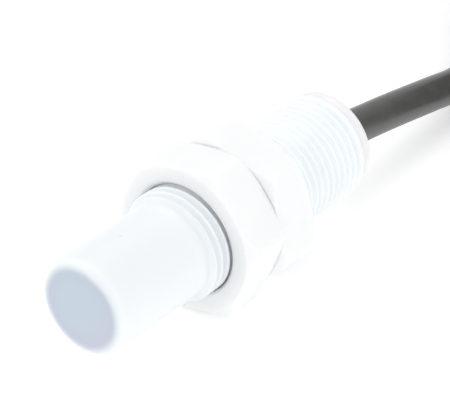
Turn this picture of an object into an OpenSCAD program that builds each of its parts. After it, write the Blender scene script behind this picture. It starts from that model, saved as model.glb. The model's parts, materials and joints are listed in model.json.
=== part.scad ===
// Cylindrical proximity sensor: a threaded plastic barrel with a smooth nose, two hexagonal
// lock nuts, the electronics inside, and a round lead that ends in three bare cores.
// The barrel lies along Y with its sensing face towards -Y and its lead towards +Y.
// It rests on one corner of each nut, and Z = 0 is the surface that it rests on.
// Distances called "from the face" are measured backwards along the barrel's axis.

/* [Barrel] */
// Length of the barrel and its end cap, from the sensing face to the rear end
body_length = 40.4; // [40:0.1:44]
// Outside diameter of the thread
thread_d = 12; // [11.8:0.05:12]
// Pitch of the thread
thread_pitch = 1; // [0.75:0.25:1]
// Outside diameter of the smooth nose in front of the thread
nose_d = 10.5; // [10:0.1:10.6]
// Length of the smooth nose, from the sensing face to the first turn of the thread
nose_length = 13.05; // [11:0.05:14]
// Radius of the rounded front edge of the nose
nose_edge = 0.9; // [0.4:0.1:1.2]
// Thickness of the closed front wall, which the sensor looks through
face_wall = 1; // [0.8:0.1:1.1]
// Diameter of the bore that holds the electronics
bore_d = 9; // [9:0.1:9.2]

/* [End cap] */
// Length of the translucent collar that closes the rear end
cap_length = 1.5; // [1:0.1:2]
// Outside diameter of the collar
cap_d = 11.7; // [11:0.1:11.9]
// Radius of the collar's rounded rear edge
cap_edge = 0.4; // [0.2:0.1:0.6]

/* [Nuts] */
// Width of each nut across its flats
nut_af = 16; // [15.8:0.1:17]
// Thickness of each nut
nut_thick = 5.5; // [4:0.1:5.6]
// Distance from the sensing face to the front nut
nut_front = 15.55; // [15:0.05:16]
// Gap between the two nuts when they are run together
nut_gap = 0.1; // [0.1:0.05:0.5]
// Turn of the resting corner of each nut away from straight down
nut_turn = 17.7; // [10:0.1:25]
// Radial clearance between the nuts' bores and the crests of the thread
nut_clearance = 0.06; // [0.03:0.01:0.1]

/* [Lead] */
// Outside diameter of the lead
lead_d = 4.1; // [4:0.1:4.1]
// Straight length of the folded lead's runs
hank_run = 54; // [50:1:60]

/* [Hidden] */

smooth = 96;
fine = 32;
axis_z = nut_af / 2 / cos(30) * cos(nut_turn);
half = body_length / 2;

// Thread form: 60 degree flanks, a narrow flat crest and a wider flat root
thread_r = thread_d / 2;
thread_depth = 0.61 * thread_pitch;
crest_half = thread_pitch / 12;
root_half = thread_pitch / 8;
thread_end = body_length - cap_length;
groove_count = floor(thread_end - nose_length - thread_pitch / 2);

nose_r = nose_d / 2;
bore_r = bore_d / 2;
cap_r = cap_d / 2;
lead_r = lead_d / 2;

// End cap spigot, grommet and clamp
spigot_r = bore_r - 0.05;
spigot_length = 2.5;
grommet_r = 2.8;
lead_fit = 0.05;
clamp_r = 2.65;
clamp_length = 2.2;
lead_inner_start = body_length - 6.4;
potting_length = 3.2;

// Nuts
nut_corner_r = nut_af / 2 / cos(30);
nut_face_r = nut_af / 2 + 0.05;
chamfer_slope = tan(30);
nut_bore_r = thread_r + nut_clearance;
nut_sink = 0.45;
rear_nut_front = nut_front + nut_thick + nut_gap;

// Electronics, as distances from the face and heights above the barrel's axis
electrode_y = face_wall + 0.25;
copper = 0.1;
disc_board_y = electrode_y + copper;
disc_board_thick = 0.8;
carrier_y = disc_board_y + disc_board_thick;
carrier_length = 3;
board_y = carrier_y + carrier_length - 1;
board_length = 26;
board_w = 7.6;
board_thick = 0.8;
sleeve_r = bore_r - 0.1;
sleeve_wall = 0.15;
sleeve_length = 14;
pin_r = 0.3;
pin_z = board_thick / 2 + pin_r;
pin_x = [-3.2, 0];
pin_reach = 3;
pads_y = board_y + board_length - 1.2;
pads_x = [-2.2, 0, 2.2];
wire_r = 0.6;

// Route of the lead, from the rear end down to the surface and up to the folded hank
lead_route = [
    [0, 20.2, 8.8], [0, 23, 8.6], [0, 26.5, 7.9], [0, 30, 7.3], [0, 34, 6.55],
    [0, 38, 5.75], [0, 42, 4.95], [0, 46, 4.1], [-0.4, 50, 3.4], [-1.4, 54, 2.9],
    [-2.8, 57.5, 2.65], [-4.8, 61.5, 2.55]
];
lead_steps = 2;
lead_sides = 10;
wire_sides = 8;

// Hank: the lead wound in long turns, two side by side and five high
turn_step = 4.2;
hank_lift = 0.5;
hank_x = 9.9;
hank_y = 70.5;
inner_turn = 13;
outer_turn = inner_turn + turn_step;
hank_outer = outer_turn + lead_r;
hank_hole = inner_turn - lead_r;
hank_layers = 5;
hank_top = hank_lift + (hank_layers - 1) * turn_step + lead_d;
tie_width = 6;
tie_thick = 0.5;

// The lead's end turns into the space inside the hank, where three cores lie on the surface
core_r = 0.65;
core_x = hank_x + 8;
core_spread = [-1.4, 0, 1.4];
core_start = hank_y + hank_run - 18;
core_length = 30;
tail_route = [
    [hank_x + hank_hole - lead_r - 0.1, core_start + 7, lead_r + 0.25],
    [core_x, core_start + 3, lead_r + 0.1],
    [core_x, core_start, lead_r]
];
ferrule_pin_r = 0.5;
ferrule_pin_length = 5;

// Puts children that stand along +Z on the barrel's axis, y millimetres behind the face
module on_axis(y) {
    translate([0, y - half, axis_z]) rotate([-90, 0, 0]) children();
}

module rod(y, r, length) {
    on_axis(y) cylinder(r = r, h = length, $fn = smooth);
}

module tube(y, outer, inner, length) {
    on_axis(y) difference() {
        cylinder(r = outer, h = length, $fn = smooth);
        translate([0, 0, -1]) cylinder(r = inner, h = length + 2, $fn = smooth);
    }
}

// A box on the board: x across, y from the face, z up from the axis, size [x, y, z]
module chip(x, y, z, size) {
    translate([x - size[0] / 2, y - half - size[1] / 2, axis_z + z]) cube(size);
}

// A point between points i and i + 1 of a route, on the smooth curve after Catmull and Rom
function between(route, i, t) =
    let (
        last = len(route) - 1,
        a = route[max(i - 1, 0)],
        b = route[i],
        c = route[min(i + 1, last)],
        d = route[min(i + 2, last)]
    )
    (2 * b + (c - a) * t + (2 * a - 5 * b + 4 * c - d) * t * t + (3 * b - a - 3 * c + d) * t * t * t) / 2;

function smooth_line(route, steps) = concat(
    [for (i = [0 : len(route) - 2]) for (k = [0 : steps - 1]) between(route, i, k / steps)],
    [route[len(route) - 1]]
);

function unit(v) = v / norm(v);

// Direction of a line at its point i; every line starts along Y
function tangent(line, i) =
    i == 0 ? [0, sign(line[1][1] - line[0][1]), 0]
    : unit(line[min(i + 1, len(line) - 1)] - line[i - 1]);

function ring(line, i, r, sides) =
    let (along = tangent(line, i), across = unit(cross(along, [1, 0, 0])), up = cross(along, across))
    [for (k = [0 : sides - 1])
        let (a = 360 * k / sides)
        line[i] + r * (cos(a) * across + sin(a) * up)];

// A round lead or wire along a line of points that runs mostly along Y
module lead_along(line, r, n) {
    rings = len(line);
    points = [for (i = [0 : rings - 1]) each ring(line, i, r, n)];
    walls = [for (i = [0 : rings - 2]) for (k = [0 : n - 1])
        [i * n + k, (i + 1) * n + k, (i + 1) * n + (k + 1) % n, i * n + (k + 1) % n]];
    start_face = [for (k = [0 : n - 1]) k];
    end_face = [for (k = [0 : n - 1]) rings * n - 1 - k];
    polyhedron(points, concat([start_face], walls, [end_face]), convexity = 4);
}

function arc(cx, cy, r, from, to, n) =
    [for (i = [0 : n]) let (a = from + (to - from) * i / n) [cx + r * cos(a), cy + r * sin(a)]];

function groove(y) = [
    [thread_r, y - thread_pitch / 2 + crest_half],
    [thread_r - thread_depth, y - root_half],
    [thread_r - thread_depth, y + root_half],
    [thread_r, y + thread_pitch / 2 - crest_half]
];

// ---- Housing ----

// The thread is drawn as rings of the true form; its lead angle is left out
module barrel() {
    outline = concat(
        [[0, 0]],
        arc(nose_r - nose_edge, nose_edge, nose_edge, -90, 0, 8),
        [[nose_r, nose_length], [thread_r - thread_depth, nose_length + root_half]],
        [[thread_r, nose_length + thread_pitch / 2 - crest_half]],
        [for (i = [1 : groove_count]) each groove(nose_length + i * thread_pitch)],
        [[thread_r, thread_end], [0, thread_end]]
    );
    color("#eef3f6") on_axis(0) difference() {
        rotate_extrude($fn = smooth) polygon(outline);
        translate([0, 0, face_wall]) cylinder(r = bore_r, h = body_length, $fn = smooth);
    }
}

module end_cap() {
    outline = concat(
        [[0, 0], [spigot_r, 0], [spigot_r, spigot_length], [cap_r, spigot_length]],
        arc(cap_r - cap_edge, spigot_length + cap_length - cap_edge, cap_edge, 0, 90, 6),
        [[0, spigot_length + cap_length]]
    );
    color("#efe9ee") on_axis(thread_end - spigot_length) difference() {
        rotate_extrude($fn = smooth) polygon(outline);
        translate([0, 0, -1]) cylinder(r = grommet_r + 0.03, h = body_length, $fn = smooth);
    }
}

// ---- Nuts ----

// Hexagon chamfered to a circle on both faces, with a countersunk bore
module nut(y, turn) {
    rim = (nut_corner_r + 1 - nut_face_r) * chamfer_slope;
    on_axis(y) difference() {
        intersection() {
            rotate([0, 0, turn]) cylinder(r = nut_corner_r, h = nut_thick, $fn = 6);
            rotate_extrude($fn = smooth) polygon([
                [0, 0], [nut_face_r, 0], [nut_corner_r + 1, rim],
                [nut_corner_r + 1, nut_thick - rim], [nut_face_r, nut_thick], [0, nut_thick]
            ]);
        }
        translate([0, 0, -1]) cylinder(r = nut_bore_r, h = nut_thick + 2, $fn = smooth);
        rotate_extrude($fn = smooth) polygon([
            [0, -0.01], [nut_bore_r + nut_sink, -0.01], [nut_bore_r, nut_sink], [0, nut_sink]
        ]);
        translate([0, 0, nut_thick]) rotate_extrude($fn = smooth) polygon([
            [0, 0.01], [nut_bore_r + nut_sink, 0.01], [nut_bore_r, -nut_sink], [0, -nut_sink]
        ]);
    }
}

module front_nut() {
    color("#fbfcfe") nut(nut_front, 90 + nut_turn);
}

module rear_nut() {
    color("#fbfcfe") nut(rear_nut_front, 90 - nut_turn);
}

// ---- Cable entry ----

module cable_grommet() {
    color("#2e3033")
        tube(thread_end - spigot_length, grommet_r, lead_r + lead_fit, spigot_length + cap_length);
}

module cable_clamp() {
    color("#c8a24a") tube(lead_inner_start + 0.1, clamp_r, lead_r + lead_fit, clamp_length);
}

module cable_inner_end() {
    color("#3c3d40") rod(lead_inner_start, lead_r, body_length - lead_inner_start);
}

module rear_potting() {
    color("#6b5f48")
        tube(thread_end - spigot_length - potting_length - 0.05, spigot_r, clamp_r + 0.05, potting_length);
}

// ---- Sensing head ----

module sensing_electrode() {
    color("#c77b4a") rod(electrode_y, 2.2, copper);
}

module guard_electrode() {
    color("#c77b4a") tube(electrode_y, 4.2, 2.9, copper);
}

module electrode_board() {
    color("#3f6f4c") difference() {
        rod(disc_board_y, bore_r - 0.1, disc_board_thick);
        pin_holes(disc_board_y, disc_board_thick, 0.05);
    }
}

module pin_holes(y, length, gap) {
    for (x = pin_x)
        translate([x, 0, pin_z]) rod(y - 0.5, pin_r + gap, length + 1);
}

module electrode_pins() {
    color("#d8b25a")
        for (x = pin_x)
            translate([x, 0, pin_z]) rod(disc_board_y, pin_r, board_y + pin_reach - disc_board_y);
}

module board_carrier() {
    color("#dcd8cc") difference() {
        rod(carrier_y, sleeve_r - sleeve_wall - 0.05, carrier_length);
        pin_holes(carrier_y, carrier_length, 0.1);
        chip(0, board_y + 5, -board_thick / 2 - 0.05, [board_w + 0.1, 10, board_thick + 0.1]);
    }
}

module shield_sleeve() {
    color("#b9bcc0") tube(carrier_y + 0.1, sleeve_r, sleeve_r - sleeve_wall, sleeve_length);
}

// ---- Electronics ----

module main_board() {
    color("#2f6b45")
        chip(0, board_y + board_length / 2, -board_thick / 2, [board_w, board_length, board_thick]);
}

// Rows of leads along both sides of a chip
module lead_rows(y, body_w, count, pitch) {
    for (i = [0 : count - 1]) {
        for (side = [-1, 1]) {
            along = y + (i - (count - 1) / 2) * pitch;
            chip(side * (body_w / 2 + 0.15), along, board_thick / 2 + 0.1, [0.3, pitch / 3, 0.6]);
            chip(side * (body_w / 2 + 0.5), along, board_thick / 2, [0.4, pitch / 3, 0.2]);
            chip(side * (body_w / 2 + 0.3), along, board_thick / 2, [0.4, pitch / 3, 0.25]);
        }
    }
}

module oscillator_chip() {
    color("#222326") chip(0, board_y + 8, board_thick / 2 + 0.1, [3.9, 4.9, 1.3]);
}

module oscillator_leads() {
    color("#c9cbce") lead_rows(board_y + 8, 3.9, 4, 1.27);
}

module output_chip() {
    color("#222326") chip(0, board_y + 14.5, board_thick / 2 + 0.1, [3, 3, 0.9]);
}

module output_chip_leads() {
    color("#c9cbce") lead_rows(board_y + 14.5, 3, 4, 0.65);
}

module output_transistor() {
    color("#222326") chip(0, board_y + 19.2, board_thick / 2 + 0.1, [1.3, 2.9, 1]);
}

module transistor_leads() {
    color("#c9cbce") lead_rows(board_y + 19.2, 1.3, 2, 1.9);
}

module protection_diode() {
    color("#1c1d20") chip(0, board_y + 22, -board_thick / 2 - 1.1, [1.6, 2.7, 1.1]);
}

module smoothing_capacitor() {
    color("#c9a14a") chip(0, board_y + 16.5, -board_thick / 2 - 1.9, [2.8, 3.5, 1.9]);
}

module chip_capacitors() {
    color("#b08a62") {
        for (i = [0 : 3])
            chip(-1.2, board_y + 4.5 + 2.4 * i, -board_thick / 2 - 0.8, [0.8, 1.6, 0.8]);
        for (side = [-1, 1])
            chip(side * 3, board_y + 13.5, board_thick / 2, [0.8, 1.6, 0.8]);
    }
}

module chip_resistors() {
    color("#2b2d33") {
        for (i = [0 : 3])
            chip(1.2, board_y + 4.5 + 2.4 * i, -board_thick / 2 - 0.45, [0.8, 1.6, 0.45]);
        for (side = [-1, 1])
            for (i = [0 : 1])
                chip(side * 2.9, board_y + 16.6 + 2.2 * i, board_thick / 2, [0.8, 1.6, 0.45]);
    }
}

module indicator_leds() {
    color("#f2c25a")
        for (side = [-1, 1])
            chip(side * 3, board_y + 22, board_thick / 2, [0.8, 1.6, 0.6]);
}

module solder_joints() {
    color("#b5b8bc")
        for (x = pads_x)
            translate([x, pads_y - half, axis_z + board_thick / 2])
                cylinder(r1 = 0.8, r2 = 0.45, h = 0.25, $fn = fine);
}

// One core inside the sensor, from the end of the jacket to its pad on the board
module inner_wire(x, offset_z) {
    top = axis_z + board_thick / 2 + 0.25 + wire_r;
    lead_along([
        [x * 0.45, lead_inner_start - half, axis_z + offset_z],
        [x * 0.6, lead_inner_start - half - 1, axis_z + offset_z],
        [x, pads_y - half + 1.3, top],
        [x, pads_y - half - 0.7, top]
    ], wire_r, wire_sides);
}

module inner_wire_brown() {
    color("#6d4326") inner_wire(pads_x[0], 0);
}

module inner_wire_black() {
    color("#202124") inner_wire(pads_x[1], 1.1);
}

module inner_wire_blue() {
    color("#2f5fa8") inner_wire(pads_x[2], 0);
}

// ---- Lead outside the sensor ----

module cable_lead() {
    color("#3c3d40") lead_along(smooth_line(lead_route, lead_steps), lead_r, lead_sides);
}

// Long shape with round ends around the middle line of the hank
module long_oval(r) {
    translate([hank_x, hank_y]) circle(r = r, $fn = smooth);
    translate([hank_x, hank_y + hank_run]) circle(r = r, $fn = smooth);
    translate([hank_x - r, hank_y]) square([2 * r, hank_run]);
}

module cable_hank() {
    color("#3c3d40")
        translate([0, 0, hank_lift]) linear_extrude(hank_top - hank_lift) difference() {
            long_oval(hank_outer);
            long_oval(hank_hole);
        }
}

module cable_tail() {
    color("#3c3d40") lead_along(tail_route, lead_r, lead_sides);
}

// A band around the ten strands on each side of the hank
module tie(x) {
    inner_w = hank_outer - hank_hole;
    inner_h = hank_top - hank_lift;
    translate([x - inner_w / 2, hank_y + hank_run / 2 - tie_width / 2, 0]) difference() {
        translate([-tie_thick, 0, 0]) cube([inner_w + 2 * tie_thick, tie_width, inner_h + 2 * tie_thick]);
        translate([0, -1, tie_thick]) cube([inner_w, tie_width + 2, inner_h]);
    }
}

module hank_ties() {
    middle = (hank_outer + hank_hole) / 2;
    color("#1f2022") {
        tie(hank_x - middle);
        tie(hank_x + middle);
    }
}

module core(i) {
    x = core_x + core_spread[i];
    lead_along([
        [core_x + core_spread[i] * 0.96, core_start, lead_r],
        [core_x + core_spread[i] * 0.98, core_start - 4, (lead_r + core_r) / 2],
        [x, core_start - 8, core_r],
        [x, core_start - core_length, core_r]
    ], core_r, wire_sides);
}

module core_brown() {
    color("#6d4326") core(0);
}

module core_black() {
    color("#202124") core(1);
}

module core_blue() {
    color("#2f5fa8") core(2);
}

// Crimped tube over each core's bared end
module core_ferrules() {
    color("#c5c7ca")
        for (x = core_spread)
            translate([core_x + x, core_start - core_length, core_r]) rotate([90, 0, 0])
                cylinder(r = ferrule_pin_r, h = ferrule_pin_length, $fn = fine);
}

barrel();
end_cap();
front_nut();
rear_nut();
cable_grommet();
cable_clamp();
cable_inner_end();
rear_potting();
sensing_electrode();
guard_electrode();
electrode_board();
electrode_pins();
board_carrier();
shield_sleeve();
main_board();
oscillator_chip();
oscillator_leads();
output_chip();
output_chip_leads();
output_transistor();
transistor_leads();
protection_diode();
smoothing_capacitor();
chip_capacitors();
chip_resistors();
indicator_leds();
solder_joints();
inner_wire_brown();
inner_wire_blue();
inner_wire_black();
cable_lead();
cable_hank();
cable_tail();
hank_ties();
core_brown();
core_blue();
core_black();
core_ferrules();
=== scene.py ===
import json
import math

import bmesh
import bpy
import numpy as np
from mathutils import Matrix, Vector


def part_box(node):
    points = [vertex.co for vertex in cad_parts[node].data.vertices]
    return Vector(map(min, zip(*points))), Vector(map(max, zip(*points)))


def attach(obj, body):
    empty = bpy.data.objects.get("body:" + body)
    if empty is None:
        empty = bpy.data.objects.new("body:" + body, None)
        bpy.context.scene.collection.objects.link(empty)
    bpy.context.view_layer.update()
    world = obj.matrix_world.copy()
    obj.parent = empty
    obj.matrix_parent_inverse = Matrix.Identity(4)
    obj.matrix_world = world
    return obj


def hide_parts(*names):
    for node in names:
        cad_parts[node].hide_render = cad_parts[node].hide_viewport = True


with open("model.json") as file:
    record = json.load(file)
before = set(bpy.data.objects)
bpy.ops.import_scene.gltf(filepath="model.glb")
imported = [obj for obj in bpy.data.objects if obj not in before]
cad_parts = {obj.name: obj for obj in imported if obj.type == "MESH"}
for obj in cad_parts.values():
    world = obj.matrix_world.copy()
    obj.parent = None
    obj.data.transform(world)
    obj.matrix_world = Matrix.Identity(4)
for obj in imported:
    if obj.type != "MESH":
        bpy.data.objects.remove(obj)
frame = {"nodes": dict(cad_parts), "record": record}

bl_info = {
    "name": "Threaded proximity sensor",
    "version": (1, 0, 0),
    "blender": (4, 5, 0),
    "location": "3D View > Sidebar > Sensor",
    "description": "Builds the shapes and finishes of a threaded proximity sensor and its lead",
    "category": "Object",
}

MM = 0.001
TURN = 2 * math.pi
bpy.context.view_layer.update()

# Places and sizes that follow from the frame, in metres
barrel_low, barrel_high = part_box("barrel")
cap_low, cap_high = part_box("end_cap")
FACE_Y = barrel_low.y
THREAD_END = barrel_high.y - FACE_Y
REAR_Y = cap_high.y
AXIS_Z = (barrel_low.z + barrel_high.z) / 2
THREAD_R = (barrel_high.x - barrel_low.x) / 2
CAP_R = (cap_high.x - cap_low.x) / 2
SPIGOT_LENGTH = barrel_high.y - cap_low.y
lead_low, lead_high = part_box("cable_inner_end")
LEAD_R = (lead_high.x - lead_low.x) / 2

# Thread and nose, as part.scad has them
PITCH = 1.0 * MM
THREAD_DEPTH = 0.61 * MM
NOSE_R = 5.25 * MM
NOSE_LENGTH = 13.05 * MM
BORE_R = 4.5 * MM
FACE_WALL = 1.0 * MM
GROMMET_R = 2.8 * MM

# Clearances, and the small breaks of hidden or minor edges
FIT_GAP = 0.03 * MM
SPIGOT_GAP = 0.05 * MM
EDGE_BREAK = 0.1 * MM
RIM_BREAK = 0.12 * MM
SKIN = 0.01 * MM                # keeps a curved surface within the frame's box

# Nuts
NUT_AF = 16 * MM
NUT_BORE_R = THREAD_R + 0.06 * MM
NUT_SINK = 0.3 * MM
NUT_TURN = math.radians(17.7)
HALF_SIDE = math.radians(30)
CHAMFER_SLOPE = math.tan(math.radians(30))

# Route of the lead from the rear end to the folded hank, as in part.scad
LEAD_ROUTE = (
    (0, 0.0202, 0.0088), (0, 0.023, 0.0086), (0, 0.0265, 0.0079), (0, 0.030, 0.0073),
    (0, 0.034, 0.00655), (0, 0.038, 0.00575), (0, 0.042, 0.00495), (0, 0.046, 0.0041),
    (-0.0004, 0.050, 0.0034), (-0.0014, 0.054, 0.0029), (-0.0028, 0.0575, 0.00265),
    (-0.0048, 0.0615, 0.00255),
)
# Route of the lead's tail, out of the hank to the bare cores
TAIL_ROUTE = (
    (0.0229, 0.1245, 0.00255), (0.0221, 0.1205, 0.0025), (0.0203, 0.1165, 0.0024),
    (0.0186, 0.1130, 0.0023), (0.0179, 0.1095, 0.00215), (0.0179, 0.1065, 0.00205),
)

# Hank: long turns around two centres, in two columns of five. The climbs and the descents
# between layers each come once a turn, from a turn count on, and the columns cross once. A
# change lasts a share of a turn.
HANK_X = 9.9 * MM
HANK_Y = 70.5 * MM
HANK_RUN = 54 * MM
INNER_TURN = 13 * MM
TURN_STEP = 4.2 * MM
HANK_LIFT = 0.5 * MM
HANK_START, HANK_END = -0.0411, 9.5
HANK_POINTS = 60                # points a turn
LAYER_STEPS = 4
CLIMB_FROM, DESCENT_FROM, LAYER_CHANGE = 0.87, 5.64, 0.12
CROSSING_FROM, CROSSING = 4.70, 0.2

# Bare cores inside the hank
CORE_R = 0.65 * MM
CORE_X = HANK_X + 8 * MM
CORE_START = HANK_Y + HANK_RUN - 18 * MM
CORE_LENGTH = 30 * MM
CORE_SPREAD = {"core_brown": -1.4 * MM, "core_black": 0.0, "core_blue": 1.4 * MM}
CORE_COLOURS = {"core_brown": (0.16, 0.06, 0.025), "core_black": (0.02, 0.02, 0.022),
                "core_blue": (0.03, 0.11, 0.36)}
FERRULE_R = 0.5 * MM
FERRULE_LENGTH = 5 * MM

# Bands round the two sides of the hank
BAND_THICK = 0.46 * MM
BAND_WALL = 0.5 * MM            # the band's thickness in the plain shapes
BAND_WIDTH = 5.8 * MM
BAND_CORNER = 1.6 * MM

# Camera, in degrees and metres, and the studio's soft lights: place, size and power
CAMERA_AZIMUTH, CAMERA_ELEVATION, CAMERA_ROLL = 35.90, 34.88, 3.93
CAMERA_DISTANCE = 215.2 * MM
CAMERA_AIM = Vector((0, 2.13 * MM, 9.47 * MM))
LIGHTS = {
    "overhead": ((-0.10, 0.06, 0.42), 0.34, 0.50),
    "front left": ((-0.42, -0.20, 0.22), 0.30, 0.60),
    "front right": ((0.35, -0.12, 0.25), 0.30, 0.50),
}
LIGHTS_AIM = Vector((0, 0, 0.01))
FLOOR_REACH = 1.5
FLOOR_GAP = 0.02 * MM           # keeps the floor off the surfaces that rest on it


# ---- Properties that a user would change ----

class SensorSizes(bpy.types.PropertyGroup):
    """Sizes of the small shapes that the frame leaves free."""
    nose_edge: bpy.props.FloatProperty(
        name="Nose edge", description="Radius of the rounded front edge of the nose",
        default=0.9 * MM, unit="LENGTH")
    cap_edge: bpy.props.FloatProperty(
        name="Cap edge", description="Radius of the rounded rear edge of the end cap",
        default=0.4 * MM, unit="LENGTH")
    nut_corner: bpy.props.FloatProperty(
        name="Nut corner", description="Radius of the six upright edges of a nut",
        default=0.3 * MM, unit="LENGTH")
    nut_edge: bpy.props.FloatProperty(
        name="Nut edge", description="How far the chamfer edges of a nut are rounded",
        default=0.16 * MM, unit="LENGTH")
    thread_rounding: bpy.props.FloatProperty(
        name="Thread rounding", description="Share of the thread form that is rounded off",
        default=0.6, min=0, max=1, subtype="FACTOR")


def tint(name, description, colour):
    """A colour property with its default."""
    return bpy.props.FloatVectorProperty(
        name=name, description=description, subtype="COLOR", size=3, min=0, max=1, default=colour)


class SensorColours(bpy.types.PropertyGroup):
    """Colours of the finishes."""
    barrel: tint("Barrel", "Moulded housing", (0.815, 0.845, 0.865))
    face: tint("Sensing face", "Thin front wall with the electrodes behind it",
               (0.485, 0.555, 0.64))
    nuts: tint("Nuts", "Lock nuts", (0.87, 0.88, 0.88))
    cap: tint("End cap", "Translucent collar", (0.85, 0.835, 0.855))
    jacket: tint("Lead jacket", "Outer jacket of the lead", (0.066, 0.066, 0.062))
    board: tint("Board", "Solder mask", (0.02, 0.13, 0.06))


# ---- Mesh helpers ----

def add_piece(name, points, faces, body="sensor", uv=None, period=1.0):
    """A smooth-shaded mesh object from an array of points and an array of four-cornered faces.

    The first uv value runs round and starts again after a period, so the faces on that seam
    carry it on past the period.
    """
    mesh = bpy.data.meshes.new(name)
    mesh.from_pydata(points.reshape(-1, 3).tolist(), [], faces.tolist())
    if uv is not None:
        layer = mesh.uv_layers.new(name="UVMap")
        corners = uv[faces]
        around = corners[..., 0]
        on_seam = np.ptp(around, axis=1) > period / 2
        around[on_seam[:, None] & (around < period / 2)] += period
        layer.data.foreach_set("uv", corners.astype(np.float32).ravel())
    piece = bpy.data.objects.new(name, mesh)
    bpy.context.scene.collection.objects.link(piece)
    work = bmesh.new()
    work.from_mesh(mesh)
    bmesh.ops.remove_doubles(work, verts=work.verts, dist=1e-7)
    bmesh.ops.dissolve_degenerate(work, edges=work.edges, dist=1e-8)
    bmesh.ops.recalc_face_normals(work, faces=work.faces)
    work.to_mesh(mesh)
    work.free()
    mesh.shade_smooth()
    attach(piece, body)
    return piece


def grid_faces(rows, columns, close_rows=False):
    """Faces of a grid whose columns run round: each face joins two rows and two columns."""
    row = np.arange(rows if close_rows else rows - 1)[:, None]
    column = np.arange(columns)[None, :]
    nearer, further = row * columns, (row + 1) % rows * columns
    following = (column + 1) % columns
    return np.stack([nearer + column, nearer + following, further + following, further + column],
                    -1).reshape(-1, 4)


def round_axis(radius, along, angle):
    """Points at a radius and an angle round the barrel's axis, at a distance behind the face."""
    return np.stack([radius * np.cos(angle), FACE_Y + along, AXIS_Z + radius * np.sin(angle)], -1)


def revolved(name, profile, columns):
    """A closed profile of (radius, distance from the face) turned round the barrel's axis."""
    angle = np.linspace(0, TURN, columns, endpoint=False)[None, :]
    points = round_axis(profile[:, :1], profile[:, 1:] + 0 * angle, angle)
    return add_piece(name, points, grid_faces(len(profile), columns, close_rows=True))


def arc(centre, radius, start, stop, count):
    """Points on an arc of a profile, angles in degrees from the radial direction."""
    angle = np.radians(np.linspace(start, stop, count))
    return np.stack([centre[0] + radius * np.cos(angle), centre[1] + radius * np.sin(angle)], -1)


def eased(value):
    """Smooth step: 0 below 0, 1 above 1, and 3v^2 - 2v^3 between."""
    value = np.clip(value, 0, 1)
    return value * value * (3 - 2 * value)


def distances(line):
    """Distance of each point of a line from its first one, measured along the line."""
    return np.concatenate([[0], np.cumsum(np.linalg.norm(np.diff(line, axis=0), axis=1))])


def smooth_route(route, steps):
    """Catmull-Rom curve through the route's points, with so many steps between two points."""
    route = np.array(route, float)
    padded = np.vstack([route[:1], route, route[-1:]])
    t = np.linspace(0, 1, steps, endpoint=False)[:, None]
    a, b, c, d = (padded[i:len(padded) - 3 + i, None] for i in range(4))
    curve = (2 * b + (c - a) * t + (2 * a - 5 * b + 4 * c - d) * t**2
             + (3 * b - a - 3 * c + d) * t**3) / 2
    return np.vstack([curve.reshape(-1, 3), route[-1:]])


def swept(name, line, radius, columns=20):
    """A round tube: each point of the line carries a ring across its tangent.

    The ring's first direction is the tangent crossed with the upright. Each end has a small
    bevel: one more ring, a little narrower, and the point that closes it.
    """
    bevel = 0.06
    along = np.gradient(line, axis=0)
    along /= np.linalg.norm(along, axis=1)[:, None]
    across = np.cross(along, [0, 0, 1])
    across /= np.linalg.norm(across, axis=1)[:, None]
    upward = np.cross(across, along)
    order = [0, 0, *range(len(line)), -1, -1]
    scale = np.ones(len(order))
    scale[[0, -1]] = 0
    scale[[1, -2]] = 1 - bevel
    shift = np.zeros(len(order))
    shift[2], shift[-3] = bevel * radius, -bevel * radius
    angle = np.linspace(0, TURN, columns, endpoint=False)[None, :, None]
    ring = np.cos(angle) * across[order][:, None] + np.sin(angle) * upward[order][:, None]
    centre = line[order] + shift[:, None] * along[order]
    points = centre[:, None] + ring * radius * scale[:, None, None]
    uv = np.stack(np.broadcast_arrays(angle[..., 0] / TURN, distances(line)[order][:, None]), -1)
    return add_piece(name, points, grid_faces(len(order), columns), uv=uv.reshape(-1, 2))


# ---- Shader helpers ----

class Value:
    """A shader socket that takes part in Python arithmetic, each step of which is a Math node."""

    def __init__(self, shader, socket):
        self.shader = shader
        self.socket = socket

    def math(self, operation, *values):
        return self.shader.node("ShaderNodeMath", {"operation": operation}, values)

    def __add__(self, other):
        return self.math("ADD", self, other)

    __radd__ = __add__

    def __sub__(self, other):
        return self.math("SUBTRACT", self, other)

    def __rsub__(self, other):
        return self.math("SUBTRACT", other, self)

    def __mul__(self, other):
        return self.math("MULTIPLY", self, other)

    __rmul__ = __mul__

    def __pow__(self, other):
        return self.math("POWER", self, other)

    def step(self, low, high):
        """0 below low, 1 above high and smooth between; low may be the larger."""
        return self.shader.node("ShaderNodeMapRange", {"interpolation_type": "SMOOTHSTEP"},
                                {"Value": self, "From Min": low, "From Max": high})

    def sine(self):
        return self.math("SINE", self)


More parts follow.
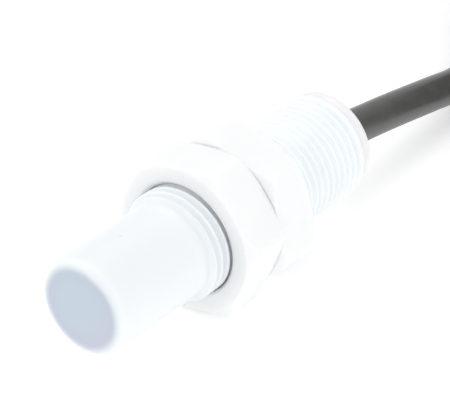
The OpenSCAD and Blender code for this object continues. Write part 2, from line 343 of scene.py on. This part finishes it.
class Shader:
    """The node tree of one material, around its Principled shader."""

    def __init__(self, name):
        self.material = bpy.data.materials.new(name)
        self.material.use_nodes = True
        self.tree = self.material.node_tree
        self.surface = self.tree.nodes["Principled BSDF"]

    def join(self, value, socket):
        """Links a value that is a socket, and sets any other value on the socket itself."""
        if isinstance(value, Value):
            self.tree.links.new(value.socket, socket)
        else:
            socket.default_value = value

    def node(self, kind, settings=None, inputs=(), output=0):
        """Adds a node: its settings first, then the values or links of its sockets."""
        made = self.tree.nodes.new(kind)
        for key, value in (settings or {}).items():
            setattr(made, key, value)
        for key, value in inputs.items() if isinstance(inputs, dict) else enumerate(inputs):
            self.join(value, made.inputs[key])
        return Value(self, made.outputs[output])

    def place(self):
        """The object's own coordinates, which are metres in the frame."""
        return self.node("ShaderNodeTexCoord", output="Object")

    def parts(self, vector):
        """The three components of a vector."""
        split = self.node("ShaderNodeSeparateXYZ", inputs=[vector])
        return [Value(self, output) for output in split.socket.node.outputs]

    def noise(self, scale, detail=3.0, roughness=0.5, vector=None):
        """Noise of about 0.2 to 0.8, with so many waves a metre unless the vector is scaled."""
        return self.node("ShaderNodeTexNoise", inputs={
            "Vector": vector or self.place(), "Scale": scale, "Detail": detail,
            "Roughness": roughness})

    def mix(self, factor, first, second):
        """Colour mix from first, at factor 0, to second, at factor 1."""
        return self.node("ShaderNodeMix", {"data_type": "RGBA"},
                         {0: factor, 6: rgba(first), 7: rgba(second)}, output=2)

    def bump(self, height, strength, distance):
        """A normal tilted by the slope of a height."""
        return self.node("ShaderNodeBump", inputs={
            "Height": height, "Strength": strength, "Distance": distance})

    def set(self, **inputs):
        """Sets or links the Principled shader's sockets; an underscore stands for a space."""
        for key, value in inputs.items():
            self.join(value, self.surface.inputs[key.replace("_", " ")])
        return self.material


def rgba(colour):
    """A colour as a colour socket takes it, with full alpha unless it is a link."""
    return colour if isinstance(colour, Value) else (*colour, 1.0)


def shade(colour, factor):
    """A colour made darker or lighter by a factor."""
    return tuple(min(1.0, part * factor) for part in colour)


def finish_with(piece, material):
    """Gives a piece its material."""
    piece.data.materials.clear()
    piece.data.materials.append(material)


# ---- Materials ----

def moulded_plastic(name, colour, roughness, grain, variation=0.05):
    """Moulded plastic: slow colour drift, uneven gloss and the fine grain of the mould."""
    shader = Shader(name)
    drift = shader.noise(180, 2)
    cloud = shader.noise(900, 3)
    grain_height = shader.noise(5200, 2, 0.6)
    base = shader.mix(drift.step(0.3, 0.7), shade(colour, 1 - variation), colour)
    return shader.set(
        Base_Color=shader.mix(cloud.step(0.45, 0.8) * 0.5, base, shade(colour, 1 + variation)),
        Roughness=cloud * 0.16 + (roughness - 0.08),
        Normal=shader.bump(grain_height, grain, 0.01 * MM))


def barrel_plastic(colours):
    """White plastic with the darker electrodes showing through its thin front wall.

    The dark disc is a soft step of the distance from the axis, its guard ring is greyer, one
    side of it is rosier, and the skin grows lighter behind the nose: painted light, which
    lifts the shade in the rear thread's grooves.
    """
    shader = Shader("barrel_plastic")
    white, face = tuple(colours.barrel), tuple(colours.face)
    x, y, z = shader.parts(shader.place())
    height = z - AXIS_Z
    radius = (x * x + height * height) ** 0.5
    drift = shader.noise(110, 2)
    cloud = shader.noise(700, 3)
    grain = shader.noise(4200, 2, 0.6)
    wobble = shader.noise(260, 2)
    near_face = y.step(FACE_Y + 0.55 * MM, FACE_Y + 0.25 * MM)
    disc = (radius + wobble * 0.3 * MM).step(5.15 * MM, 4.0 * MM) * near_face
    guard = (radius + wobble * 0.8 * MM).step(2.8 * MM, 4.6 * MM) * disc
    blush = (x * 0.6 - height * 0.8 + wobble * 2.4 * MM).step(1.5 * MM, 5.5 * MM)
    # Painted light: from 14 mm behind the face the skin is made up to a tenth lighter, lifting the
    # shade in the rear thread's grooves
    painted_light_rear = y.step(FACE_Y + 14 * MM, FACE_Y + 24 * MM)
    skin = shader.mix(painted_light_rear, white, shade(white, 1.1))
    skin = shader.mix(drift.step(0.3, 0.7) * 0.3, skin, shade(white, 0.96))
    rosy = (face[0] * 1.06, face[1] * 0.96, face[2] * 0.97)
    greyer = (face[0] * 0.97, face[1] * 0.92, face[2] * 0.93)
    through = shader.mix(guard * 0.5, shader.mix(blush * 0.85, face, rosy), greyer)
    speck_place = (-0.40 * MM, FACE_Y + 6.1 * MM, AXIS_Z + 5.24 * MM)
    from_speck = shader.node("ShaderNodeVectorMath", {"operation": "DISTANCE"},
                             {0: shader.place(), 1: speck_place}, output="Value")
    speck = from_speck.step(0.17 * MM, 0.07 * MM)
    colour = shader.mix(disc * 0.97, skin, through)
    return shader.set(
        Base_Color=shader.mix(speck * 0.35, colour, (0.45, 0.46, 0.46)),
        Roughness=cloud * 0.14 + 0.36,
        Subsurface_Weight=0.35, Subsurface_Radius=(1.0, 1.0, 1.0), Subsurface_Scale=0.9 * MM,
        Normal=shader.bump(grain, 0.35, 0.008 * MM))


def nut_plastic(colours):
    """Denser white plastic with faint flow lines across the moulded flats."""
    shader = Shader("nut_plastic")
    white = tuple(colours.nuts)
    drift = shader.noise(150, 2)
    cloud = shader.noise(1000, 3)
    flow = shader.node("ShaderNodeTexWave", {"wave_type": "BANDS", "bands_direction": "Y"}, {
        "Vector": shader.place(), "Scale": 260.0, "Distortion": 6.0, "Detail": 2.0})
    return shader.set(
        Base_Color=shader.mix(drift.step(0.3, 0.7), shade(white, 0.985), white),
        Roughness=cloud * 0.15 + 0.38,
        Subsurface_Weight=0.4, Subsurface_Radius=(1.0, 1.0, 1.0), Subsurface_Scale=1.2 * MM,
        Normal=shader.bump(flow * 0.5 + shader.noise(4600, 2, 0.6), 0.3, 0.008 * MM))


def cap_plastic(colours):
    """Translucent plastic, faintly rose."""
    shader = Shader("cap_plastic")
    rose = tuple(colours.cap)
    cloud = shader.noise(800, 3)
    return shader.set(
        Base_Color=shader.mix(cloud.step(0.35, 0.7), shade(rose, 0.97), rose),
        Roughness=cloud * 0.12 + 0.28,
        Subsurface_Weight=0.35, Subsurface_Radius=(1.0, 0.9, 0.95), Subsurface_Scale=1.2 * MM,
        Normal=shader.bump(shader.noise(3500, 2), 0.25, 0.008 * MM))


def jacket_plastic(name, colour, roughness=0.31):
    """Extruded jacket: fine lines along its length, a dusty bloom and small scuffs."""
    shader = Shader(name)
    around, along, _ = shader.parts(shader.node("ShaderNodeUVMap", {"uv_map": "UVMap"}))
    stretched = shader.node("ShaderNodeCombineXYZ", inputs=[around, along * 12.0, 0.0])
    lines = shader.noise(70, 3, 0.6, stretched)
    dust = shader.noise(650, 4)
    scuff = shader.noise(2600, 2).step(0.62, 0.74)
    base = shader.mix(dust.step(0.35, 0.75), colour, shade(colour, 1.2))
    return shader.set(
        Base_Color=shader.mix(scuff * 0.2, base, shade(colour, 1.7)),
        Roughness=dust * 0.1 + (roughness - 0.05),
        Normal=shader.bump(lines + dust * 0.2, 0.25, 0.01 * MM))


def metal(name, colour, roughness):
    """Drawn or plated metal: fine scratches along Y, tarnish and a slightly uneven gloss."""
    shader = Shader(name)
    x, y, z = shader.parts(shader.place())
    drawn = shader.node("ShaderNodeCombineXYZ", inputs=[x * 14.0, y * 1.5, z * 14.0])
    scratches = shader.noise(900, 3, 0.6, drawn)
    tarnish = shader.noise(700, 4)
    return shader.set(
        Base_Color=shader.mix(tarnish.step(0.45, 0.75) * 0.6, colour, shade(colour, 0.72)),
        Metallic=1.0, Roughness=scratches * 0.2 + (roughness - 0.1),
        Normal=shader.bump(scratches, 0.3, 0.01 * MM))


def circuit_laminate(colours):
    """Solder mask over etched tracks: a brick pattern's joints are paler, raised lines."""
    shader = Shader("circuit_laminate")
    green = tuple(colours.board)
    cells = shader.node("ShaderNodeTexBrick", {"offset": 0.37, "squash": 1.6}, {
        "Vector": shader.place(), "Scale": 900.0, "Mortar Size": 0.06, "Mortar Smooth": 0.2,
        "Brick Width": 1.4, "Row Height": 0.55}, output="Fac")
    weave = shader.noise(2600, 2)
    return shader.set(
        Base_Color=shader.mix(cells * 0.7, green, shade(green, 2.1)),
        Roughness=weave * 0.12 + 0.24,
        Normal=shader.bump(cells + weave * 0.2, 0.5, 0.02 * MM))


def woven_band(name, colour):
    """Woven band: two crossed sets of threads, from sines along and across the band."""
    warp_step, weft_step = 0.45 * MM, 0.38 * MM
    shader = Shader(name)
    around, across, _ = shader.parts(shader.node("ShaderNodeUVMap", {"uv_map": "UVMap"}))
    warp = (across * (TURN / warp_step)).sine() * 0.5 + 0.5
    weft = (around * (TURN / weft_step)).sine() * 0.5 + 0.5
    threads = warp * weft
    fuzz = shader.noise(3200, 4, 0.7)
    return shader.set(
        Base_Color=shader.mix(threads * fuzz, colour, shade(colour, 3.0)),
        Roughness=fuzz * 0.2 + 0.72, Sheen_Weight=0.3,
        Normal=shader.bump(threads + fuzz * 0.5, 0.8, 0.12 * MM))


# ---- Operators ----

class PieceOperator(bpy.types.Operator):
    """Base of the operators: it reads the two property groups."""

    def execute(self, context):
        self.build(context.scene.sensor_sizes, context.scene.sensor_colours)
        return {"FINISHED"}


class SENSOR_OT_stage(PieceOperator):
    """Sets the camera, the pale floor and the soft studio light."""
    bl_idname = "sensor.stage"
    bl_label = "Camera, floor and light"

    def build(self, sizes, colours):
        self.camera()
        self.floor()
        scene = bpy.context.scene
        scene.world = bpy.data.worlds.new("studio")
        scene.world.use_nodes = True
        background = scene.world.node_tree.nodes["Background"]
        background.inputs["Color"].default_value = (0.985, 0.992, 1.0, 1.0)
        background.inputs["Strength"].default_value = 0.72
        scene.view_settings.view_transform = "Standard"
        for name, (place, size, power) in LIGHTS.items():
            self.light(name, Vector(place), size, power)

    @staticmethod
    def camera():
        """The camera's back axis comes from azimuth and elevation, and roll turns the others."""
        data = bpy.data.cameras.new("camera")
        data.lens = 167.7
        data.sensor_width = 36
        data.clip_start = 0.01
        azimuth, elevation, roll = map(
            math.radians, (CAMERA_AZIMUTH, CAMERA_ELEVATION, CAMERA_ROLL))
        back = Vector((math.sin(azimuth) * math.cos(elevation),
                       -math.cos(azimuth) * math.cos(elevation), math.sin(elevation)))
        level = Vector((math.cos(azimuth), math.sin(azimuth), 0))
        right = level * math.cos(roll) + back.cross(level) * math.sin(roll)
        up = back.cross(right)
        place = Matrix((right, up, back)).transposed().to_4x4()
        place.translation = CAMERA_AIM + back * CAMERA_DISTANCE
        camera = bpy.data.objects.new("camera", data)
        camera.matrix_world = place
        bpy.context.scene.collection.objects.link(camera)
        bpy.context.scene.camera = camera

    @staticmethod
    def floor():
        """A flat square a hair below the surface that the part rests on."""
        corners = ((-1, -1), (1, -1), (1, 1), (-1, 1))
        mesh = bpy.data.meshes.new("floor")
        mesh.from_pydata([(x * FLOOR_REACH, y * FLOOR_REACH, -FLOOR_GAP) for x, y in corners],
                         [], [(0, 1, 2, 3)])
        floor = bpy.data.objects.new("floor", mesh)
        bpy.context.scene.collection.objects.link(floor)
        mesh.materials.append(Shader("studio_floor").set(
            Base_Color=(0.92, 0.92, 0.92, 1), Roughness=0.8, Specular_IOR_Level=0.1,
            Emission_Color=(1, 1, 1, 1), Emission_Strength=0.22))

    @staticmethod
    def light(name, place, size, power):
        """A square soft light that faces the part."""
        data = bpy.data.lights.new(name, "AREA")
        data.size = size
        data.energy = power
        lamp = bpy.data.objects.new(name, data)
        lamp.location = place
        lamp.rotation_euler = (LIGHTS_AIM - place).to_track_quat("-Z", "Y").to_euler()
        bpy.context.scene.collection.objects.link(lamp)


def hank_line(turns):
    """Centre line of the hank at an array of turn counts.

    One turn is a left-hand run, a half circle, a right-hand run and a half circle. The outer
    column climbs one layer at the end of each turn, crosses to the inner column at the top,
    and comes down again one layer a turn.
    """
    middle = INNER_TURN + TURN_STEP / 2
    run_share = HANK_RUN / (2 * HANK_RUN + TURN * middle)
    bend_share = 0.5 - run_share
    level = sum(eased((turns - CLIMB_FROM - i) / LAYER_CHANGE)
                - eased((turns - DESCENT_FROM - i) / LAYER_CHANGE) for i in range(LAYER_STEPS))
    radius = INNER_TURN + TURN_STEP * (1 - eased((turns - CROSSING_FROM) / CROSSING))
    phase = turns % 1.0
    along = phase % 0.5
    on_run = along < run_share
    travelled = HANK_RUN * np.minimum(along / run_share, 1)
    bend = math.pi * np.clip((along - run_share) / bend_share, 0, 1)
    x = -radius * np.cos(bend)
    y = np.where(on_run, travelled, HANK_RUN + radius * np.sin(bend))
    far_side = phase >= 0.5
    x, y = np.where(far_side, -x, x), np.where(far_side, HANK_RUN - y, y)
    height = HANK_LIFT + LEAD_R + TURN_STEP * level
    return np.stack([HANK_X + x, HANK_Y + y, height], -1)


def lead_line():
    """The whole centre line of the lead: its route, the turns of the hank and its tail."""
    route = smooth_route(LEAD_ROUTE, 3)
    count = int((HANK_END - HANK_START) * HANK_POINTS)
    turns = hank_line(np.linspace(HANK_START, HANK_END, count)[1:])
    tail = smooth_route(TAIL_ROUTE, 3)[1:]
    return np.vstack([route, turns, tail])


class SENSOR_OT_lead(PieceOperator):
    """Lays the lead from the rear end into its folded hank."""
    bl_idname = "sensor.lead"
    bl_label = "Lead and hank"

    def build(self, sizes, colours):
        line = lead_line()
        lead = swept("lead", line, LEAD_R - SKIN)
        finish_with(lead, jacket_plastic("lead_jacket", tuple(colours.jacket)))
        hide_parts("cable_lead", "cable_hank", "cable_tail")
        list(bare_cores())
        ferrule_pins()
        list(hank_bands())


def bare_cores():
    """The three cores, each a tube that leaves the jacket and lies on the surface."""
    cores = []
    for name, aside in CORE_SPREAD.items():
        line = smooth_route((
            (CORE_X + aside * 0.96, CORE_START, LEAD_R),
            (CORE_X + aside * 0.98, CORE_START - 4 * MM, (LEAD_R + CORE_R) / 2),
            (CORE_X + aside, CORE_START - 8 * MM, CORE_R),
            (CORE_X + aside, CORE_START - 19 * MM, CORE_R),
            (CORE_X + aside, CORE_START - CORE_LENGTH, CORE_R),
        ), 4)
        line[:, 2] = np.maximum(line[:, 2], CORE_R)
        core = swept(name + "_wire", line, CORE_R * 0.99, 14)
        finish_with(core, jacket_plastic(name + "_jacket", CORE_COLOURS[name], 0.35))
        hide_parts(name)
        cores.append(core)
    return cores


def ferrule_pins():
    """Three crimped pins, from one grid of a pin that is set beside itself.

    The radius is a cosine along the pin, five waves for the five marks of the tool, times a
    cosine of four times the angle, which squares the section slightly.
    """
    columns, crimps = 16, 5
    step = np.linspace(0, 1, 40)
    crimp = FERRULE_R * (0.93 + 0.05 * np.cos(step * TURN * crimps))
    angle = np.linspace(0, TURN, columns, endpoint=False)[None, :]
    radius = np.concatenate([[0], crimp, [0]])[:, None] * (1 - 0.04 * np.cos(4 * angle))
    along = np.concatenate([[0], step, [1]])[:, None] * FERRULE_LENGTH
    pin = np.stack(np.broadcast_arrays(
        CORE_X + radius * np.cos(angle), CORE_START - CORE_LENGTH - along,
        CORE_R + radius * np.sin(angle)), -1).reshape(-1, 3)
    asides = list(CORE_SPREAD.values())
    points = [pin + [aside, 0, 0] for aside in asides]
    faces = [grid_faces(len(along), columns) + i * len(pin) for i in range(len(asides))]
    pins = add_piece("ferrule_pins", np.vstack(points), np.vstack(faces))
    finish_with(pins, metal("ferrule_tin", (0.74, 0.74, 0.75), 0.3))
    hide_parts("core_ferrules")
    return pins


def hank_bands():
    """Two closed bands: a flat strip carried round a rectangle with rounded corners.

    The strip's middle line is a quarter circle at each corner of the rectangle, joined by
    straight stretches. Its section is a rounded rectangle: powers of the sine and cosine, with
    their signs kept.
    """
    columns = 12
    low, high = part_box("hank_ties")
    inner = np.array([TURN_STEP + 2 * LEAD_R, high.z - low.z - 2 * BAND_WALL])
    half = (inner + BAND_THICK) / 2
    angle = np.radians(np.linspace(0, 90, 7))
    quarter = np.stack([np.cos(angle), np.sin(angle)], -1)
    turns = [np.array([[c, -s], [s, c]]) for c, s in ((1, 0), (0, 1), (-1, 0), (0, -1))]
    signs = np.array([[1, 1], [-1, 1], [-1, -1], [1, -1]])
    normal = np.vstack([quarter @ turn.T for turn in turns])
    outline = normal * BAND_CORNER + np.repeat(signs * (half - BAND_CORNER), len(angle), 0)
    section = np.linspace(0, TURN, columns, endpoint=False)
    sine, cosine = np.sin(section), np.cos(section)
    out = np.sign(sine) * np.abs(sine) ** 0.5 * BAND_THICK / 2
    side = np.sign(cosine) * np.abs(cosine) ** 0.25 * BAND_WIDTH / 2
    flat = outline[:, None] + normal[:, None] * out[None, :, None]
    around = distances(outline)
    uv = np.stack(np.broadcast_arrays(around[:, None], side[None, :]), -1).reshape(-1, 2)
    reach = INNER_TURN + TURN_STEP / 2
    bands = []
    y, z = HANK_Y + HANK_RUN / 2 + side, (low.z + high.z) / 2 + flat[..., 1]
    for name, x in (("band_left", HANK_X - reach), ("band_right", HANK_X + reach)):
        points = np.stack(np.broadcast_arrays(x + flat[..., 0], y, z), -1)
        band = add_piece(name, points, grid_faces(len(outline), columns, close_rows=True),
                         uv=uv, period=around[-1])
        finish_with(band, woven_band(name + "_weave", (0.02, 0.02, 0.021)))
        bands.append(band)
    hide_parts("hank_ties")
    return bands


class SENSOR_OT_barrel(PieceOperator):
    """Builds the barrel: rounded nose, right-handed thread, collar and bore."""
    bl_idname = "sensor.barrel"
    bl_label = "Threaded barrel"

    def build(self, sizes, colours):
        """A profile from the middle of the face round to the bore's blind end, turned once."""
        columns, rows_per_pitch = 144, 15
        angle = np.linspace(0, TURN, columns, endpoint=False)[None, :]
        edge = sizes.nose_edge
        front = [[r, 0] for r in np.linspace(0, NOSE_R - edge, 8)[:-1]]
        rounding = arc((NOSE_R - edge, edge), edge, -90, 0, 10)
        nose = [[NOSE_R, y] for y in np.linspace(edge, NOSE_LENGTH, 12)[1:-1]]
        thread_y = np.arange(NOSE_LENGTH, THREAD_END - EDGE_BREAK, PITCH / rows_per_pitch)
        thread = np.stack([np.full_like(thread_y, THREAD_R), thread_y], -1)
        crest_gap, root = 0.03 * MM, 0.2 * MM
        rear = [[THREAD_R - crest_gap, THREAD_END - crest_gap], [THREAD_R - RIM_BREAK, THREAD_END],
                [BORE_R + EDGE_BREAK, THREAD_END], [BORE_R, THREAD_END - EDGE_BREAK]]
        bore = [[BORE_R, y] for y in np.linspace(THREAD_END - MM, FACE_WALL + root, 10)]
        inside = [[BORE_R - root, FACE_WALL], [BORE_R / 2, FACE_WALL], [0, FACE_WALL]]
        profile = np.vstack([front, rounding, nose, thread, rear, bore, inside])
        radius = np.repeat(profile[:, :1], columns, 1)
        first = len(front) + len(rounding) + len(nose)
        radius[first:first + len(thread)] = self.thread_radius(
            thread_y[:, None], angle, sizes.thread_rounding)
        points = round_axis(radius, profile[:, 1:] + 0 * angle, angle)
        barrel = add_piece("barrel_shell", points, grid_faces(len(profile), columns))
        finish_with(barrel, barrel_plastic(colours))
        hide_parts("barrel")

    @staticmethod
    def thread_radius(along, angle, rounding):
        """Radius of a right-handed thread.

        The distance from the nearest groove is along, plus one pitch for each turn of the
        angle, to the nearest whole pitch. Between the root flat and the crest flat the radius
        climbs along a straight flank, which is blended with a smooth step. A steep chamfer
        cuts the first turn, and the last turn runs out into the collar.
        """
        start_lag, root_half, flank = 0.07, 0.10, 0.31      # in pitches
        run_out_from, run_out_length = THREAD_END - 0.95 * MM, 0.45 * MM
        chamfer_slope = 1.8
        crest = THREAD_R - SKIN
        off = (along - NOSE_LENGTH) / PITCH + start_lag + angle / TURN
        off = np.abs(off - np.round(off))
        climb = np.clip((off - root_half) / flank, 0, 1)
        climb = climb * (1 - rounding) + eased(climb) * rounding
        run_out = eased((along - run_out_from) / run_out_length)
        depth = THREAD_DEPTH * (1 - climb) * (1 - run_out)
        return np.minimum(crest - depth, NOSE_R + (along - NOSE_LENGTH) * chamfer_slope)


class SENSOR_OT_nuts(PieceOperator):
    """Builds the two chamfered, countersunk lock nuts."""
    bl_idname = "sensor.nuts"
    bl_label = "Lock nuts"

    def build(self, sizes, colours):
        material = nut_plastic(colours)
        for node, lean in (("front_nut", -NUT_TURN), ("rear_nut", NUT_TURN)):
            nut = self.nut(node, lean, sizes)
            finish_with(nut, material)
            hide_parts(node)

    def nut(self, node, lean, sizes):
        """One nut as a ring-shaped grid: its section at each angle runs over both faces.

        The chamfer climbs 30 degrees from a circle on the face to the hexagon's radius at that
        angle, and the bore's wall carries shallow right-handed grooves.
        """
        low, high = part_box(node)
        front, thick = low.y - FACE_Y, high.y - low.y
        per_side, crowding = 28, 1.7            # crowding gathers the columns at the corners
        spread = np.linspace(-1, 1, per_side, endpoint=False)
        off = np.tile(HALF_SIDE * np.sign(spread) * np.abs(spread) ** crowding, 6)
        corner = np.repeat(np.arange(6) * 2 * HALF_SIDE, per_side)
        angle = (corner + off - math.pi / 2 + lean)[None, :]
        outer = self.hexagon(off, sizes.nut_corner)
        face = np.minimum(NUT_AF / 2 + 0.05 * MM, outer - 0.02 * MM)
        chamfer = (outer - face) * CHAMFER_SLOPE
        same = np.ones_like(outer)
        mouth = NUT_BORE_R + NUT_SINK
        outline = self.rounded(np.array([
            [NUT_BORE_R * same, NUT_SINK * same], [mouth * same, 0 * same], [face, 0 * same],
            [outer, chamfer], [outer, thick - chamfer], [face, thick * same],
            [mouth * same, thick * same], [NUT_BORE_R * same, (thick - NUT_SINK) * same],
        ]), sizes.nut_edge)
        groove_half, groove_depth, fade = 0.38, 0.22 * MM, 0.3 * MM
        row = PITCH / 12
        wall_y = np.arange(thick - NUT_SINK - row, NUT_SINK, -row)[:, None]
        groove = (front + wall_y - NOSE_LENGTH) / PITCH + angle / TURN
        groove = 1 - eased(np.abs(groove - np.round(groove)) / groove_half)
        wall_r = NUT_BORE_R + groove_depth * groove * eased((wall_y - NUT_SINK) / fade)
        radius = np.vstack([outline[:, 0], wall_r])
        along = np.vstack([outline[:, 1], wall_y * same[None, :]])
        faces = grid_faces(len(radius), len(outer), close_rows=True)
        return add_piece(node + "_hexagon", round_axis(radius, front + along, angle), faces, node)

    @staticmethod
    def hexagon(off, fillet):
        """Radius of a hexagon with rounded corners, at an angle off its nearest corner.

        On a flat it is half the width over the cosine of the angle from the flat's middle.
        Near a corner it is the far side of a circle that touches both flats.
        """
        centre = (NUT_AF / 2 - fillet) / math.cos(HALF_SIDE)
        touch = math.atan2(fillet * math.sin(HALF_SIDE), centre + fillet * math.cos(HALF_SIDE))
        flat = NUT_AF / 2 / np.cos(HALF_SIDE - np.abs(off))
        circle = centre * np.cos(off) + np.sqrt(
            np.maximum(fillet**2 - (centre * np.sin(off)) ** 2, 0))
        return np.where(np.abs(off) < touch, circle, flat)

    @staticmethod
    def rounded(corners, cut):
        """Replaces each inner corner of the sections by a quadratic curve between two cuts.

        A cut is at most a little under half of its side, so two cuts never meet.
        """
        def cut_point(here, side):
            length = np.maximum(np.linalg.norm(side, axis=0), 1e-9)
            return here + side * np.minimum(cut / length, 0.45)

        rows = [corners[0]]
        t = np.linspace(0, 1, 5)[:, None, None]
        for before, here, after in zip(corners, corners[1:], corners[2:]):
            start, stop = cut_point(here, before - here), cut_point(here, after - here)
            rows.extend((1 - t) ** 2 * start + 2 * t * (1 - t) * here + t**2 * stop)
        rows.append(corners[-1])
        return np.array(rows)


class SENSOR_OT_rear_end(PieceOperator):
    """Builds the translucent end cap and the rubber grommet round the lead."""
    bl_idname = "sensor.rear_end"
    bl_label = "End cap and grommet"

    def build(self, sizes, colours):
        spigot_r = BORE_R - SPIGOT_GAP
        start, stop = THREAD_END - SPIGOT_LENGTH, REAR_Y - FACE_Y
        hole, hole_edge, lead_in = GROMMET_R + FIT_GAP, 0.25 * MM, 0.2 * MM
        edge = sizes.cap_edge
        cap = revolved("end_cap_collar", np.vstack([
            [[hole, start], [spigot_r - lead_in, start], [spigot_r, start + lead_in],
             [spigot_r, THREAD_END], [CAP_R - RIM_BREAK, THREAD_END],
             [CAP_R, THREAD_END + EDGE_BREAK]],
            arc((CAP_R - edge, stop - edge), edge, 0, 90, 10),
            arc((hole + hole_edge, stop - hole_edge), hole_edge, 90, 180, 6),
        ]), 128)
        finish_with(cap, cap_plastic(colours))
        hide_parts("end_cap")
        inner, lip = LEAD_R + FIT_GAP, 0.2 * MM
        grommet = revolved("rubber_grommet", np.vstack([
            [[inner, start], [GROMMET_R - EDGE_BREAK, start], [GROMMET_R, start + EDGE_BREAK]],
            arc((GROMMET_R - lip, stop - lip), lip, 0, 90, 6),
            arc((inner + lip, stop - lip), lip, 90, 180, 6),
        ]), 96)
        rubber = moulded_plastic("grommet_rubber", (0.035, 0.035, 0.037), 0.6, 0.7)
        finish_with(grommet, rubber)
        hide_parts("cable_grommet")


# Finish of each inner node: the material's name, the record's slot and the nodes that take it
INNER_FINISHES = {
    "clamp_brass": ("brass", ("cable_clamp",)),
    "copper_foil": ("copper", ("sensing_electrode", "guard_electrode")),
    "plated_pins": ("gold_plated_pin", ("electrode_pins",)),
    "shield_tin": ("shield", ("shield_sleeve",)),
    "lead_tin": ("tinned_lead", ("oscillator_leads", "output_chip_leads", "transistor_leads")),
    "solder_tin": ("solder", ("solder_joints",)),
    "chip_epoxy": ("chip_case", ("oscillator_chip", "output_chip", "output_transistor",
                                 "protection_diode")),
    "carrier_plastic": ("carrier", ("board_carrier",)),
    "tantalum_case": ("tantalum", ("smoothing_capacitor",)),
    "capacitor_ceramic": ("ceramic_chip", ("chip_capacitors",)),
    "resistor_glaze": ("resistor", ("chip_resistors",)),
    "amber_lens": ("led", ("indicator_leds",)),
    "cast_resin": ("resin", ("rear_potting",)),
    "inner_jacket": ("jacket", ("cable_inner_end",)),
    "brown_insulation": ("brown_core", ("inner_wire_brown",)),
    "blue_insulation": ("blue_core", ("inner_wire_blue",)),
    "black_insulation": ("black_core", ("inner_wire_black",)),
}
# Slots that are metal, with the roughness of each
METALS = {"brass": 0.28, "copper": 0.32, "gold_plated_pin": 0.22, "shield": 0.35,
          "tinned_lead": 0.3, "solder": 0.25}


class SENSOR_OT_electronics(PieceOperator):
    """Finishes the parts inside the barrel, whose shapes come from the frame."""
    bl_idname = "sensor.electronics"
    bl_label = "Inner parts"

    def build(self, sizes, colours):
        listed = {m["slot"]: m["base_color"][:3] for m in frame["record"]["materials"]}
        for name, (slot, nodes) in INNER_FINISHES.items():
            if slot in METALS:
                material = metal(name, listed[slot], METALS[slot])
            else:
                material = moulded_plastic(name, listed[slot], 0.42, 0.5, 0.12)
            self.give(material, nodes)
        self.give(circuit_laminate(colours), ("main_board", "electrode_board"))

    @staticmethod
    def give(material, nodes):
        """Puts one material on the frame's own pieces."""
        for node in nodes:
            mesh = frame["nodes"][node].data
            mesh.materials.clear()
            mesh.materials.append(material)


OPERATORS = (SENSOR_OT_stage, SENSOR_OT_lead, SENSOR_OT_barrel, SENSOR_OT_nuts,
             SENSOR_OT_rear_end, SENSOR_OT_electronics)


class SENSOR_PT_panel(bpy.types.Panel):
    """Lists the sizes, the colours and the operators."""
    bl_label = "Proximity sensor"
    bl_idname = "SENSOR_PT_panel"
    bl_space_type = "VIEW_3D"
    bl_region_type = "UI"
    bl_category = "Sensor"

    def draw(self, context):
        for group in (context.scene.sensor_sizes, context.scene.sensor_colours):
            column = self.layout.column()
            for key in group.__annotations__:
                column.prop(group, key)
        for operator in OPERATORS:
            self.layout.operator(operator.bl_idname)


CLASSES = (SensorSizes, SensorColours, *OPERATORS, SENSOR_PT_panel)


def register():
    for each in CLASSES:
        bpy.utils.register_class(each)
    bpy.types.Scene.sensor_sizes = bpy.props.PointerProperty(type=SensorSizes)
    bpy.types.Scene.sensor_colours = bpy.props.PointerProperty(type=SensorColours)


def unregister():
    del bpy.types.Scene.sensor_colours
    del bpy.types.Scene.sensor_sizes
    for each in reversed(CLASSES):
        bpy.utils.unregister_class(each)


def main():
    register()
    for operator in OPERATORS:
        group, name = operator.bl_idname.split(".")
        getattr(getattr(bpy.ops, group), name)()


if __name__ == "__main__":
    main()
